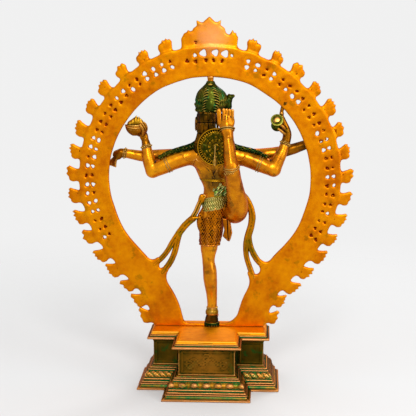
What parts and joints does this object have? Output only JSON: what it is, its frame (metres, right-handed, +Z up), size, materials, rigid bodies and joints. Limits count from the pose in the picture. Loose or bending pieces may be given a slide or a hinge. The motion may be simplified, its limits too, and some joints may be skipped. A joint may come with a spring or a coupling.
{
  "type": "brass nataraja statue",
  "caption": "Cast brass dancing figure with a raised leg inside a pierced ring of flames, on a stepped T-plan plinth with mouldings.",
  "frame": {"origin": "on the ground, at the middle of the plinth's overall width and depth", "axes": "+Z up; +Y the side that the figure faces; -Y the side of the plinth's deep centre bay"},
  "size_m": [0.581, 0.213, 0.734],
  "materials": {
    "arch_brass": "satin, worn golden orange",
    "figure_brass": "satin with brown patina in recesses",
    "plinth_brass": "antiqued, green verdigris in grooves",
    "dark_patina": "dark green patina",
    "ornament_brass": "rubbed highlights",
    "fastener_brass": "plain turned"
  },
  "bodies": {
    "root": {"plinth_foot_course": "plinth_brass", "plinth_lotus_course": "plinth_brass", "plinth_neck": "plinth_brass", "plinth_cornice": "plinth_brass", "plinth_top_slab": "arch_brass", "flame_arch": "arch_brass", "arch_washers": "fastener_brass", "arch_nuts": "fastener_brass", "figure_washer": "fastener_brass", "figure_nut": "fastener_brass", "figure_stud": "fastener_brass", "foot_pad": "dark_patina", "torso": "figure_brass", "head": "figure_brass", "hair_crown": "dark_patina", "crown_stem": "figure_brass", "crown_side_boss": "dark_patina", "nape_hair": "dark_patina", "head_disc": "dark_patina", "disc_spigot": "dark_patina", "disc_tassel": "ornament_brass", "standing_leg": "figure_brass", "waist_cloth": "figure_brass", "waist_belt": "ornament_brass", "raised_leg": "figure_brass", "cloth_tail": "figure_brass", "rear_left_arm": "figure_brass", "rear_right_arm": "figure_brass", "front_left_arm": "figure_brass", "front_right_arm": "figure_brass", "flame_bowl": "ornament_brass", "drum": "dark_patina", "drum_stem": "figure_brass", "hair_lock_left": "dark_patina", "hair_lock_right": "dark_patina", "hip_knot": "figure_brass", "scarf_left": "figure_brass", "scarf_right": "figure_brass", "chest_band": "ornament_brass", "collar": "ornament_brass", "left_armlet": "ornament_brass", "right_armlet": "ornament_brass", "left_bracelet": "ornament_brass", "right_bracelet": "ornament_brass", "front_left_bracelet": "ornament_brass", "front_right_bracelet": "ornament_brass", "knee_band": "ornament_brass", "raised_anklet": "ornament_brass", "standing_anklet": "ornament_brass", "earrings": "ornament_brass"}
  },
  "joints": []
}
